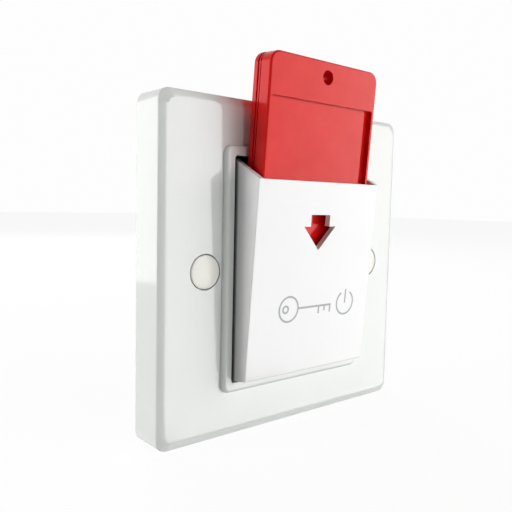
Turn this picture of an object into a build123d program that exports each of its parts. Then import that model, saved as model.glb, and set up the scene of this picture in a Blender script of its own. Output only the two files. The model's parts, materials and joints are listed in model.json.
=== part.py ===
from build123d import *
import math
import os

# Hotel key card switch on a single-gang wall plate.
#
# Every piece is drawn as the front view shows it: X across the plate, Y up the wall and Z out
# of the wall into the room, with zero at the middle of the plate, on the wall. The last step
# stands the drawing up, so that +Z is up the wall and the room lies towards -Y.
# Lengths are millimetres and angles are degrees.

# Wall plate: a single-gang square moulding, hollow at the back.
PLATE_MARGIN = 12.85
PLATE_CORNER = 3.0
PLATE_DEPTH = 11.0
BEVEL_RUN = 2.4
BEVEL_DROP = 1.1
CREASE_RADIUS = 0.6
PLATE_WALL = 2.2
PLATE_SKIN = 2.2
PLATE_RIB = 1.2
PLATE_RIB_HEIGHT = 5.8
RIM_WALL = 1.4

# Clearances between the mouldings.
MOULD_GAP = 0.2
RUN_GAP = 0.3
CONTACT_GAP = 0.1
OVERRUN = 2.0

# Key pocket: a wedge, deeper at its mouth than at its foot.
LEAN = 4.5
POCKET_HEIGHT = 56.2
MOUTH_DROP = 5.25
FOOT_RISE = 0.6
POCKET_FRONT_WALL = 1.65
POCKET_SIDE_WALL = 1.5
POCKET_FLOOR = 1.6
POCKET_EDGE = 0.35
MOUTH_ANGLE = 27.7
SHADOW_GAP = 0.5
GUIDE_THICKNESS = 1.6
GUIDE_DROP = 8.85
GUIDE_LEAD = 4.0

# Arrow window in the pocket's front panel, hung from the mouth.
ARROW_DROP = 8.35
ARROW_LENGTH = 9.3
ARROW_SHAFT_LENGTH = 3.05
ARROW_SHAFT = 6.95
ARROW_HEAD = 11.7

# Key tag: two shells, standing in the pocket.
TAG_FACE_RISE = 4.9
TAG_WIDTH = 39.0
TAG_LENGTH = 76.1
TAG_FOOT_RISE = 5.5
TAG_SIDE_GAP = 1.1
TAG_THICKNESS = 6.3
TAG_CORNER = 3.0
TAG_EDGE = 0.6
TAG_BACK_EDGE = 0.3
TAG_BACK_THICKNESS = 1.5
TAG_FRONT_GAP = 0.15
BEAD_THICKNESS = 0.4
BEAD_INSET = 0.1
GROOVE_WIDTH = 0.45
GROOVE_DEPTH = 0.35
RECESS_RIM = 1.05
RECESS_DROP = 10.4
RECESS_DEPTH = 1.35
RING_HOLE_RADIUS = 1.85
RING_HOLE_DROP = 4.0

# Bezel: the raised frame round the pocket, with a sleeve that goes through the plate.
BEZEL_BAND = 2.6
BEZEL_RISE = 1.5
BEZEL_CORNER = 2.2
BEZEL_ROUND = 1.05
OPENING_CORNER = 0.75
BEZEL_LIP = 3.6
LIP_STEP = 0.5
SLEEVE_WALL = 0.9
SLEEVE_CORNER = 1.5
SLEEVE_LENGTH = 6.6
LUG_WIDTH = 6.0
LUG_REACH = 0.9
LUG_LENGTH = 2.4
LUG_OFFSET = 12.0

# Switch base: the box behind the pocket that holds the mechanism.
BASE_SETBACK = 3.6
BASE_DEEP = 22.4
BASE_WALL = 1.8
BASE_CORNER = 1.6
BARRIER = 1.4
TAG_RAIL = 1.6
TAG_RAIL_OFFSET = 13.0
TAG_RAIL_TOP = 18.0
TAG_RAIL_FOOT = -18.0
EAR_BOSS_LENGTH = 4.8
EAR_THICKNESS = 2.0
EAR_WIDTH = 6.4
EAR_OFFSET = 19.0
EAR_REACH = 6.6
COVER_THICKNESS = 2.0
COVER_LIP = 1.2
SPIGOT_RADIUS = 1.5
SPIGOT_LENGTH = 3.0

# Trip lever: the tag's foot presses its nose, and its tail lifts the contact carrier.
PIVOT_RISE = 5.6
PIVOT_SETBACK = 5.0
PIN_RADIUS = 1.0
PIN_OVERHANG = 0.2
PIN_SEAT_GAP = 0.01
PIN_RUN_GAP = 0.05
LEVER_THROW = 18.0
NOSE_ARM = 10.2
NOSE_RADIUS = 1.4
NOSE_WIDTH = 6.0
TAIL_ARM = 9.6
TAIL_RADIUS = 1.2
TAIL_WIDTH = 4.0
TAIL_RISE = 25.0
HUB_RADIUS = 2.4
LUG_THICKNESS = 1.8

# Contact carrier and its two bridges.
CARRIER_SETBACK = 14.4
CARRIER_DEEP = 6.8
SHELF_TOP = -6.7
SHELF_THICKNESS = 1.6
PORTAL_WIDTH = 5.0
PORTAL_POST = 1.1
PORTAL_BAR = 1.2
BRIDGE_THICKNESS = 0.8
BRIDGE_DEEP = 4.0
BRIDGE_OVERHANG = 1.65
OVERTRAVEL = 0.5
TIP_HEIGHT = 0.8
TIP_RADIUS = 1.5
CONTACT_HEIGHT = 1.0
STEM_WIDTH = 4.8
STEM_DEEP = 4.8
RAIL_LENGTH = 6.9

# Terminals, one at the head of each fixed contact.
BLOCK_GAP = 1.05
BLOCK_HEIGHT = 10.0
BLOCK_DEEP = 8.0
BLOCK_EDGE = 0.4
WIRE_RADIUS = 2.25
WIRE_DEPTH = 8.5
BAY_MOUTH = 1.2
BAY_HEADROOM = 4.7
STRIP_THICKNESS = 0.8
STRIP_WIDTH = 5.0
STRIP_BEND = 0.4
STRIP_HEAD = 8.0
TERMINAL_SCREW_RADIUS = 1.5
TERMINAL_HEAD_RADIUS = 2.5
TERMINAL_HEAD = 1.6
TERMINAL_SCREW_PROUD = 0.6
ACCESS_RADIUS = 3.0
COLLAR_WALL = 1.0
COLLAR_HEIGHT = 0.8

# Springs.
RETURN_COIL_RADIUS = 2.2
RETURN_TURNS = 8
BRIDGE_COIL_RADIUS = 1.5
BRIDGE_TURNS = 4
SPRING_WIRE = 0.5

# Screws and caps.
FIXING_RADIUS = 1.75
FIXING_NECK_RADIUS = 1.6
FIXING_CLEAR = 0.2
FIXING_HEAD_RADIUS = 3.4
FIXING_HEAD_GAP = 0.2
FIXING_HEAD_DOME = 0.6
FIXING_LENGTH = 25.0
FIXING_BOSS_LENGTH = 5.4
FIXING_BOSS_WALL = 1.3
CAP_RADIUS = 4.2
CAP_BAND = 0.75
CAP_GAP = 0.3
CAP_HEIGHT = 2.2
CAP_SKIN = 1.1
CAP_DOME = 0.35
CAP_SKIRT_WALL = 0.7
SMALL_SCREW_RADIUS = 1.4
SMALL_HEAD_RADIUS = 2.6
SMALL_HEAD = 1.4
SMALL_SCREW_TIP_GAP = 0.8
COVER_SCREW_LENGTH = 9.0
BOSS_WALL = 1.1
BOSS_INSET = 2.1
SLOT_WIDTH = 0.7
SLOT_DEPTH = 0.7

# Sizes that follow from the ones above.
LEAN_RUN = math.tan(math.radians(LEAN))
LEAN_STRETCH = 1 / math.cos(math.radians(LEAN))
POCKET_WIDTH = TAG_WIDTH + 2 * (TAG_SIDE_GAP + POCKET_SIDE_WALL)
POCKET_TOP = POCKET_HEIGHT / 2 - MOUTH_DROP
POCKET_FOOT = FOOT_RISE - POCKET_HEIGHT / 2
ARROW_TOP = POCKET_TOP - ARROW_DROP
ARROW_SHOULDER = ARROW_TOP - ARROW_SHAFT_LENGTH
ARROW_TIP = ARROW_TOP - ARROW_LENGTH
GUIDE_TOP = POCKET_TOP - GUIDE_DROP
TAG_FOOT = TAG_FOOT_RISE - POCKET_HEIGHT / 2
TAG_TOP = TAG_FOOT + TAG_LENGTH
RECESS_TOP = TAG_TOP - RECESS_DROP
RING_HOLE_HEIGHT = TAG_TOP - RING_HOLE_DROP
PIVOT_HEIGHT = PIVOT_RISE - POCKET_HEIGHT / 2
BEVEL_START = PLATE_DEPTH - BEVEL_DROP
SKIN_BACK = PLATE_DEPTH - PLATE_SKIN
PLATE_RIB_FOOT = SKIN_BACK - PLATE_RIB_HEIGHT
BEZEL_FRONT = PLATE_DEPTH + BEZEL_RISE
LIP_BACK = BEZEL_FRONT - BEZEL_LIP
SLEEVE_END = PLATE_DEPTH - SLEEVE_LENGTH
TAG_FACE_DEPTH = BEZEL_FRONT + TAG_FACE_RISE
BASE_FRONT = PLATE_DEPTH - BASE_SETBACK
BASE_BACK = BASE_FRONT - BASE_DEEP
EAR_FRONT = SKIN_BACK - EAR_BOSS_LENGTH
PIVOT_DEPTH = BASE_FRONT - PIVOT_SETBACK
CARRIER_DEPTH = BASE_FRONT - CARRIER_SETBACK
CAP_SEAT = PLATE_DEPTH - CAP_HEIGHT
FIXING_HEAD_TOP = CAP_SEAT - FIXING_HEAD_GAP
FIXING_BOSS_FOOT = CAP_SEAT - FIXING_BOSS_LENGTH
OPENING_WIDTH = POCKET_WIDTH + 2 * SHADOW_GAP
OPENING_HEIGHT = POCKET_HEIGHT + 2 * SHADOW_GAP
BEZEL_WIDTH = OPENING_WIDTH + 2 * BEZEL_BAND
BEZEL_HEIGHT = OPENING_HEIGHT + 2 * BEZEL_BAND
FIXING_SPACING = BEZEL_WIDTH + 2 * (CAP_BAND + CAP_RADIUS)
PLATE_SIDE = FIXING_SPACING + 2 * PLATE_MARGIN
SLEEVE_WIDTH = OPENING_WIDTH + 2 * LIP_STEP
SLEEVE_HEIGHT = OPENING_HEIGHT + 2 * LIP_STEP
SLEEVE_OUTER_WIDTH = SLEEVE_WIDTH + 2 * SLEEVE_WALL
SLEEVE_OUTER_HEIGHT = SLEEVE_HEIGHT + 2 * SLEEVE_WALL
APERTURE_WIDTH = SLEEVE_OUTER_WIDTH + 2 * MOULD_GAP
APERTURE_HEIGHT = SLEEVE_OUTER_HEIGHT + 2 * MOULD_GAP
BASE_WIDTH = SLEEVE_WIDTH - 2 * MOULD_GAP
BASE_HEIGHT = SLEEVE_HEIGHT - 2 * MOULD_GAP
BASE_INNER_FRONT = BASE_FRONT - BASE_WALL
CAVITY_HALF_WIDTH = BASE_WIDTH / 2 - BASE_WALL
CAVITY_HALF_HEIGHT = BASE_HEIGHT / 2 - BASE_WALL
PARTITION_TOP = CAVITY_HALF_HEIGHT - BAY_HEADROOM - BLOCK_HEIGHT
PARTITION_HEIGHT = PARTITION_TOP - BARRIER
BAY_WIDTH = (CAVITY_HALF_WIDTH - 3 * BARRIER / 2) / 2
BLOCK_WIDTH = BAY_WIDTH - 2 * BLOCK_GAP
BAY_INNER = (BARRIER + BAY_WIDTH) / 2
BAY_OUTER = BAY_INNER + BAY_WIDTH + BARRIER
BAYS = (-BAY_OUTER, -BAY_INNER, BAY_INNER, BAY_OUTER)
POLE_OFFSET = (BAY_INNER + BAY_OUTER) / 2
POLES = (-POLE_OFFSET, POLE_OFFSET)
TIP_OFFSET = (BAY_OUTER - BAY_INNER) / 2
PIN_HALF_LENGTH = NOSE_WIDTH / 2 + MOULD_GAP + LUG_THICKNESS + PIN_OVERHANG
NOSE_DROP = LEVER_THROW / 2
TAIL_ANGLE = TAIL_RISE + LEVER_THROW / 2
TAIL_TIP_HEIGHT = PIVOT_HEIGHT + TAIL_ARM * math.sin(math.radians(TAIL_ANGLE))
TAIL_TIP_DEPTH = PIVOT_DEPTH - TAIL_ARM * math.cos(math.radians(TAIL_ANGLE))
STEM_FOOT = TAIL_TIP_HEIGHT + TAIL_RADIUS + CONTACT_GAP
BRIDGE_TOP = CONTACT_HEIGHT - CONTACT_GAP - TIP_HEIGHT
BRIDGE_FOOT = BRIDGE_TOP - BRIDGE_THICKNESS
BRIDGE_HALF_LENGTH = TIP_OFFSET + BRIDGE_OVERHANG
STRIP_FOOT = CONTACT_HEIGHT + TIP_HEIGHT
CARRIER_TRAVEL = TAIL_ARM * (math.sin(math.radians(TAIL_ANGLE))
                             - math.sin(math.radians(TAIL_ANGLE - LEVER_THROW)))
SHELF_FOOT = SHELF_TOP - SHELF_THICKNESS
RAIL_TOP = SHELF_FOOT - CARRIER_TRAVEL - RUN_GAP
BLOCK_BACK = CARRIER_DEPTH - BLOCK_DEEP / 2 - STRIP_THICKNESS
BLOCK_FRONT = BLOCK_BACK + BLOCK_DEEP
BLOCK_TOP = PARTITION_TOP + BLOCK_HEIGHT
BLOCK_DEPTH = (BLOCK_BACK + BLOCK_FRONT) / 2
EAR_PLACES = [(side * (BASE_WIDTH / 2 + EAR_REACH / 2), end * EAR_OFFSET)
              for side in (-1, 1) for end in (-1, 1)]
COVER_SCREW_PLACES = [(-POLE_OFFSET, CAVITY_HALF_HEIGHT - BOSS_INSET - MOULD_GAP),
                      (POLE_OFFSET, CAVITY_HALF_HEIGHT - BOSS_INSET - MOULD_GAP),
                      (-CAVITY_HALF_WIDTH + BOSS_INSET, -CAVITY_HALF_HEIGHT + BOSS_INSET),
                      (CAVITY_HALF_WIDTH - BOSS_INSET, -CAVITY_HALF_HEIGHT + BOSS_INSET)]
FIXING_PLACES = [(-FIXING_SPACING / 2, 0), (FIXING_SPACING / 2, 0)]

# The leaned frame of the tag: its origin is on the tag's face, at the middle of the plate.
SLOT = Pos(0, 0, TAG_FACE_DEPTH) * Rotation(LEAN, 0, 0)
STAND_UP = Rotation(90, 0, 0)


def slab(width, height, corner, back, front):
    """A rounded rectangle of the front view, from one depth to another."""
    return Pos(0, 0, back) * extrude(RectangleRounded(width, height, corner), amount=front - back)


def block(width, height, back, front, x=0, y=0):
    """A square-cornered block of the front view, centred on x and y."""
    return Pos(x, y, back) * extrude(Rectangle(width, height), amount=front - back)


def rod(radius, back, front, x=0, y=0):
    """A round rod that points out of the wall."""
    return Pos(x, y, back) * extrude(Circle(radius), amount=front - back)


def side_view(sketch, width, middle=0):
    """Gives a sketch of the side view, drawn as depth and height, its width across the plate."""
    plane = Plane(origin=(middle, 0, 0), x_dir=(0, 0, 1), z_dir=(-1, 0, 0))
    return extrude(plane * sketch, amount=width / 2, both=True)


def side_polygon(points, width, middle=0):
    """A polygon of the side view, given its width."""
    return side_view(Polygon(*points, align=None), width, middle)


def top_polygon(points, height, middle=0):
    """A polygon of the top view, drawn as place across and depth, given its height."""
    plane = Plane(origin=(0, middle, 0), x_dir=(1, 0, 0), z_dir=(0, -1, 0))
    return extrude(plane * Polygon(*points, align=None), amount=height / 2, both=True)


def leaned_depth(face_offset, height):
    """Depth of a plane parallel to the tag's face, a distance in front of it."""
    return TAG_FACE_DEPTH + face_offset * LEAN_STRETCH + height * LEAN_RUN


def edges_at_depth(solid, depth):
    """The edges that lie flat at one depth."""
    tolerance = CONTACT_GAP / 10
    return solid.edges().filter_by_position(Axis.Z, depth - tolerance, depth + tolerance)


def coil(radius, length, turns):
    """A compression spring of square wire, standing on the ground plane."""
    pitch = (length - SPRING_WIRE) / turns
    path = Helix(pitch=pitch, height=pitch * turns, radius=radius)
    section = Plane(origin=path @ 0, z_dir=path % 0) * Rectangle(SPRING_WIRE, SPRING_WIRE)
    return Pos(0, 0, SPRING_WIRE / 2) * sweep(section, path, is_frenet=True)


def screw_slot(reach, head_face, x, y, towards_room=True):
    """The driver slot of a screw head, cut into the head from its face."""
    back = head_face - SLOT_DEPTH if towards_room else head_face - OVERRUN
    front = head_face + OVERRUN if towards_room else head_face + SLOT_DEPTH
    return block(2 * reach, SLOT_WIDTH, back, front, x, y)


def make_face_plate():
    """The wall plate: bevelled front, hollow back, bosses for the screws and stiffening ribs."""
    body = slab(PLATE_SIDE, PLATE_SIDE, PLATE_CORNER, 0, BEVEL_START)
    outer = Pos(0, 0, BEVEL_START) * RectangleRounded(PLATE_SIDE, PLATE_SIDE, PLATE_CORNER)
    inner_side = PLATE_SIDE - 2 * BEVEL_RUN
    inner = Pos(0, 0, PLATE_DEPTH) * RectangleRounded(inner_side, inner_side, PLATE_CORNER / 2)
    body += loft([outer, inner], ruled=True)
    body = fillet(edges_at_depth(body, BEVEL_START), CREASE_RADIUS)
    hollow = PLATE_SIDE - 2 * PLATE_WALL
    body -= slab(hollow, hollow, PLATE_CORNER / 2, -OVERRUN, SKIN_BACK)

    rim_width = APERTURE_WIDTH + 2 * RIM_WALL
    rim_height = APERTURE_HEIGHT + 2 * RIM_WALL
    rib_reach = PLATE_SIDE - PLATE_WALL
    ribs = block(rim_width, rim_height, SLEEVE_END, SKIN_BACK)
    for end in (-1, 1):
        ribs += block(rib_reach, PLATE_RIB, PLATE_RIB_FOOT, SKIN_BACK, y=end * EAR_OFFSET)
        ribs += block(PLATE_RIB, rib_reach, PLATE_RIB_FOOT, SKIN_BACK, x=end * POLE_OFFSET)
    cap_bore = CAP_RADIUS + CAP_GAP
    for x, y in FIXING_PLACES:
        ribs += rod(cap_bore + FIXING_BOSS_WALL, FIXING_BOSS_FOOT, SKIN_BACK, x, y)
    for x, y in EAR_PLACES:
        ribs += rod(SMALL_SCREW_RADIUS + BOSS_WALL, EAR_FRONT, SKIN_BACK, x, y)
    ribs -= block(APERTURE_WIDTH, APERTURE_HEIGHT, -OVERRUN, EAR_FRONT)
    body += ribs
    body -= slab(APERTURE_WIDTH, APERTURE_HEIGHT, PLATE_CORNER / 2, -OVERRUN, PLATE_DEPTH + OVERRUN)
    for x, y in EAR_PLACES:
        body -= block(EAR_REACH + 2 * RUN_GAP, EAR_WIDTH + 2 * RUN_GAP, -OVERRUN, EAR_FRONT, x, y)
    for end in (-1, 1):
        body -= block(APERTURE_WIDTH + 2 * LUG_REACH, LUG_WIDTH + 2 * RUN_GAP, -OVERRUN, SKIN_BACK,
                      y=end * LUG_OFFSET)

    cone_foot = FIXING_HEAD_TOP - (FIXING_HEAD_RADIUS - FIXING_RADIUS)
    for x, y in FIXING_PLACES:
        body -= rod(cap_bore, CAP_SEAT, PLATE_DEPTH + OVERRUN, x, y)
        body -= rod(FIXING_RADIUS + FIXING_CLEAR, -OVERRUN, CAP_SEAT, x, y)
        seat = loft([Pos(x, y, cone_foot) * Circle(FIXING_RADIUS + FIXING_CLEAR),
                     Pos(x, y, CAP_SEAT) * Circle(FIXING_HEAD_RADIUS + FIXING_CLEAR)])
        body -= seat
    for x, y in EAR_PLACES:
        body -= rod(SMALL_SCREW_RADIUS, -OVERRUN, SKIN_BACK, x, y)
    return body


def make_module_frame():
    """The raised bezel, with the sleeve and snap lugs that hold it in the plate."""
    band = slab(BEZEL_WIDTH, BEZEL_HEIGHT, BEZEL_CORNER, PLATE_DEPTH, BEZEL_FRONT)
    band = fillet(edges_at_depth(band, BEZEL_FRONT), BEZEL_ROUND)
    sleeve = slab(SLEEVE_OUTER_WIDTH, SLEEVE_OUTER_HEIGHT, SLEEVE_CORNER, SLEEVE_END, PLATE_DEPTH)
    frame = band + sleeve
    frame -= slab(OPENING_WIDTH, OPENING_HEIGHT, OPENING_CORNER, SLEEVE_END - OVERRUN,
                  BEZEL_FRONT + OVERRUN)
    frame -= slab(SLEEVE_WIDTH, SLEEVE_HEIGHT, OPENING_CORNER, SLEEVE_END - OVERRUN, LIP_BACK)
    lug_top = SKIN_BACK - MOULD_GAP
    wall = SLEEVE_OUTER_WIDTH / 2
    for side in (-1, 1):
        outline = [(side * (wall - SLEEVE_WALL / 2), lug_top), (side * (wall + LUG_REACH), lug_top),
                   (side * wall, lug_top - LUG_LENGTH),
                   (side * (wall - SLEEVE_WALL / 2), lug_top - LUG_LENGTH)]
        for end in (-1, 1):
            frame += top_polygon(outline, LUG_WIDTH, end * LUG_OFFSET)
    return frame


def make_key_pocket():
    """The wedge that the tag stands in: leaned front panel, open mouth and arrow window."""
    front_offset = TAG_FRONT_GAP + POCKET_FRONT_WALL
    top_depth = leaned_depth(front_offset, POCKET_TOP)
    rear_half = POCKET_HEIGHT / 2
    mouth_run = (rear_half - POCKET_TOP) / math.tan(math.radians(MOUTH_ANGLE))
    wedge = side_polygon([(BASE_FRONT, -rear_half), (BEZEL_FRONT, -rear_half),
                          (leaned_depth(front_offset, POCKET_FOOT), POCKET_FOOT),
                          (top_depth, POCKET_TOP), (top_depth - mouth_run, rear_half),
                          (BASE_FRONT, rear_half)], POCKET_WIDTH)
    front_edges = [edge for edge in wedge.edges()
                   if edge.center().Z > BEZEL_FRONT + BEZEL_RISE and edge.center().Y < POCKET_TOP - OVERRUN]
    wedge = fillet(front_edges, POCKET_EDGE)
    skirt_width = SLEEVE_WIDTH - 2 * MOULD_GAP
    skirt_height = SLEEVE_HEIGHT - 2 * MOULD_GAP
    pocket = wedge + slab(skirt_width, skirt_height, OPENING_CORNER, BASE_FRONT, LIP_BACK - MOULD_GAP)

    floor = -rear_half + POCKET_FLOOR
    reach = rear_half + OVERRUN
    inside = POCKET_WIDTH - 2 * POCKET_SIDE_WALL
    pocket -= side_polygon([(BASE_FRONT - OVERRUN, floor), (leaned_depth(TAG_FRONT_GAP, floor), floor),
                            (leaned_depth(TAG_FRONT_GAP, reach), reach),
                            (BASE_FRONT - OVERRUN, reach)], inside)
    pocket -= block(inside, reach - POCKET_TOP, LIP_BACK, top_depth + OVERRUN,
                    y=(reach + POCKET_TOP) / 2)

    wall = inside / 2 + POCKET_SIDE_WALL / 2
    rail = TAG_WIDTH / 2 + RUN_GAP
    middle = -(TAG_THICKNESS + GUIDE_THICKNESS) / 2
    for side in (-1, 1):
        outline = Polygon((side * wall, TAG_FOOT), (side * rail, TAG_FOOT),
                          (side * rail, GUIDE_TOP - GUIDE_LEAD), (side * wall, GUIDE_TOP), align=None)
        pocket += SLOT * (Pos(0, 0, middle) * extrude(outline, amount=GUIDE_THICKNESS))

    shaft = ARROW_SHAFT / 2
    head = ARROW_HEAD / 2
    arrow = Polygon((-shaft, ARROW_TOP), (-shaft, ARROW_SHOULDER), (-head, ARROW_SHOULDER),
                    (0, ARROW_TIP), (head, ARROW_SHOULDER), (shaft, ARROW_SHOULDER),
                    (shaft, ARROW_TOP), align=None)
    pocket -= SLOT * extrude(arrow, amount=front_offset + OVERRUN)
    return pocket


def tag_outline(inset):
    """The tag's rounded outline, drawn in by an inset."""
    middle = (TAG_TOP + TAG_FOOT) / 2
    return Pos(0, middle, 0) * RectangleRounded(TAG_WIDTH - 2 * inset, TAG_LENGTH - 2 * inset,
                                                TAG_CORNER - inset)


def tag_layer(inset, back, front):
    """One layer of the tag's thickness, measured back from its face."""
    return Pos(0, 0, back) * extrude(tag_outline(inset), amount=front - back)


def make_tag_front():
    """The front shell of the tag: recessed face, ring hole and the bead of the seam."""
    shell_back = TAG_BACK_THICKNESS - TAG_THICKNESS + 2 * GROOVE_WIDTH + BEAD_THICKNESS
    shell = tag_layer(0, shell_back, 0)
    shell = fillet(edges_at_depth(shell, 0), TAG_EDGE)
    bead_front = shell_back - GROOVE_WIDTH
    bead_back = bead_front - BEAD_THICKNESS
    shell += tag_layer(GROOVE_DEPTH, bead_back - GROOVE_WIDTH, shell_back)
    shell += tag_layer(BEAD_INSET, bead_back, bead_front)
    recess_foot = TAG_FOOT + RECESS_RIM
    recess = RectangleRounded(TAG_WIDTH - 2 * RECESS_RIM, RECESS_TOP - recess_foot, RECESS_RIM / 2)
    middle = (RECESS_TOP + recess_foot) / 2
    shell -= Pos(0, middle, -RECESS_DEPTH) * extrude(recess, amount=RECESS_DEPTH + OVERRUN)
    shell -= rod(RING_HOLE_RADIUS, -TAG_THICKNESS - OVERRUN, OVERRUN, y=RING_HOLE_HEIGHT)
    return SLOT * shell


def make_tag_back():
    """The back shell of the tag, a plain rounded lid with the ring hole."""
    lid = tag_layer(0, -TAG_THICKNESS, TAG_BACK_THICKNESS - TAG_THICKNESS)
    lid = fillet(edges_at_depth(lid, -TAG_THICKNESS), TAG_BACK_EDGE)
    lid -= rod(RING_HOLE_RADIUS, -TAG_THICKNESS - OVERRUN, OVERRUN, y=RING_HOLE_HEIGHT)
    return SLOT * lid


def make_works_front():
    """The front wall of the works: tag rails before it, lever lugs and carrier guides behind it."""
    front = slab(BASE_WIDTH, BASE_HEIGHT, BASE_CORNER, BASE_INNER_FRONT, BASE_FRONT)
    back_offset = -TAG_THICKNESS - RUN_GAP
    for side in (-1, 1):
        front += side_polygon([(BASE_INNER_FRONT, TAG_RAIL_FOOT),
                               (leaned_depth(back_offset, TAG_RAIL_FOOT), TAG_RAIL_FOOT),
                               (leaned_depth(back_offset, TAG_RAIL_TOP - OVERRUN), TAG_RAIL_TOP - OVERRUN),
                               (BASE_INNER_FRONT, TAG_RAIL_TOP + OVERRUN)],
                              TAG_RAIL, side * TAG_RAIL_OFFSET)
    window = NOSE_WIDTH + 2 * MOULD_GAP
    window_height = 2 * (HUB_RADIUS + RUN_GAP)
    front -= block(window, window_height, BASE_INNER_FRONT - OVERRUN, BASE_FRONT + OVERRUN,
                   y=PIVOT_HEIGHT)
    lug = side_view(Pos(PIVOT_DEPTH, PIVOT_HEIGHT) * Circle(HUB_RADIUS)
                    + Pos((PIVOT_DEPTH + BASE_INNER_FRONT) / 2, PIVOT_HEIGHT)
                    * Rectangle(BASE_INNER_FRONT - PIVOT_DEPTH, 2 * HUB_RADIUS), LUG_THICKNESS)
    lug_middle = NOSE_WIDTH / 2 + MOULD_GAP + LUG_THICKNESS / 2
    guide_middle = STEM_WIDTH / 2 + RUN_GAP + BARRIER / 2
    for side in (-1, 1):
        front += Pos(side * lug_middle, 0, 0) * lug
        front += block(BARRIER, RAIL_LENGTH, CARRIER_DEPTH - STEM_DEEP / 2, BASE_INNER_FRONT,
                       side * guide_middle, RAIL_TOP - RAIL_LENGTH / 2)
    front -= side_view(Pos(PIVOT_DEPTH, PIVOT_HEIGHT) * Circle(PIN_RADIUS + PIN_SEAT_GAP),
                       2 * PIN_HALF_LENGTH)
    return front


def make_switch_base():
    """The box behind the front wall, open at the back, with four terminal bays open at the top."""
    base = slab(BASE_WIDTH, BASE_HEIGHT, BASE_CORNER, BASE_BACK, BASE_INNER_FRONT)
    base -= block(2 * CAVITY_HALF_WIDTH, 2 * CAVITY_HALF_HEIGHT, BASE_BACK - OVERRUN,
                  BASE_INNER_FRONT + OVERRUN)
    for x, y in EAR_PLACES:
        side = math.copysign(1, x)
        ear_reach = EAR_REACH + BASE_WALL / 2
        base += block(ear_reach, EAR_WIDTH, EAR_FRONT - EAR_THICKNESS, EAR_FRONT,
                      side * (BASE_WIDTH / 2 - BASE_WALL / 2 + ear_reach / 2), y)

    middle = PARTITION_HEIGHT + BARRIER / 2
    base += block(2 * CAVITY_HALF_WIDTH + BASE_WALL, BARRIER, BASE_BACK, BASE_INNER_FRONT, y=middle)
    bay_height = CAVITY_HALF_HEIGHT - PARTITION_TOP + BASE_WALL / 2
    for x in (-POLE_OFFSET, 0, POLE_OFFSET):
        base += block(BARRIER, bay_height, BASE_BACK, BASE_INNER_FRONT, x, PARTITION_TOP + bay_height / 2)
    for x, y in COVER_SCREW_PLACES:
        base += rod(SMALL_SCREW_RADIUS + BOSS_WALL, BASE_BACK, BASE_INNER_FRONT, x, y)
    for x in BAYS:
        base -= block(STRIP_WIDTH + 2 * MOULD_GAP, BARRIER + OVERRUN, BLOCK_FRONT - MOULD_GAP,
                      BLOCK_FRONT + STRIP_THICKNESS + MOULD_GAP, x, middle)
        base -= block(BAY_WIDTH, BASE_WALL + OVERRUN, BASE_BACK - OVERRUN, BLOCK_FRONT + BAY_MOUTH,
                      x, CAVITY_HALF_HEIGHT + (BASE_WALL + OVERRUN) / 2)

    spigot = Plane(origin=(0, PARTITION_HEIGHT, CARRIER_DEPTH), z_dir=(0, -1, 0))
    base += extrude(spigot * Circle(SPIGOT_RADIUS), amount=SPIGOT_LENGTH)
    for x, y in COVER_SCREW_PLACES:
        base -= rod(SMALL_SCREW_RADIUS, BASE_BACK - OVERRUN, BASE_BACK + COVER_SCREW_LENGTH, x, y)
    for x, y in EAR_PLACES:
        base -= rod(SMALL_SCREW_RADIUS + MOULD_GAP, -OVERRUN, EAR_FRONT + OVERRUN, x, y)
    return base


def make_rear_cover():
    """The lid at the back, with collared holes over the terminal screws."""
    cover_back = BASE_BACK - COVER_THICKNESS
    cover = slab(BASE_WIDTH, BASE_HEIGHT, BASE_CORNER, cover_back, BASE_BACK)
    cover = fillet(edges_at_depth(cover, cover_back), BASE_CORNER / 4)
    access_height = PARTITION_TOP + BLOCK_HEIGHT / 2
    for x in BAYS:
        cover += rod(ACCESS_RADIUS + COLLAR_WALL, cover_back - COLLAR_HEIGHT, BASE_BACK, x, access_height)
        cover -= rod(ACCESS_RADIUS, cover_back - OVERRUN, BASE_BACK + OVERRUN, x, access_height)
    lip_width = 2 * (CAVITY_HALF_WIDTH - MOULD_GAP)
    lip_foot = -CAVITY_HALF_HEIGHT + 2 * BOSS_INSET + BOSS_WALL
    lip_height = PARTITION_HEIGHT - MOULD_GAP - lip_foot
    lip = block(lip_width, lip_height, BASE_BACK, BASE_BACK + COVER_LIP, y=lip_foot + lip_height / 2)
    lip -= block(lip_width - 2 * BARRIER, lip_height - 2 * BARRIER, BASE_BACK, BASE_BACK + OVERRUN,
                 y=lip_foot + lip_height / 2)
    stop_depth = CARRIER_DEPTH - STEM_DEEP / 2 - RUN_GAP
    cover += lip
    cover += block(BARRIER, RAIL_LENGTH, BASE_BACK, stop_depth, y=RAIL_TOP - RAIL_LENGTH / 2)
    for x, y in COVER_SCREW_PLACES:
        cover -= rod(SMALL_SCREW_RADIUS + MOULD_GAP, cover_back - OVERRUN, BASE_BACK + OVERRUN, x, y)
    return cover


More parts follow.
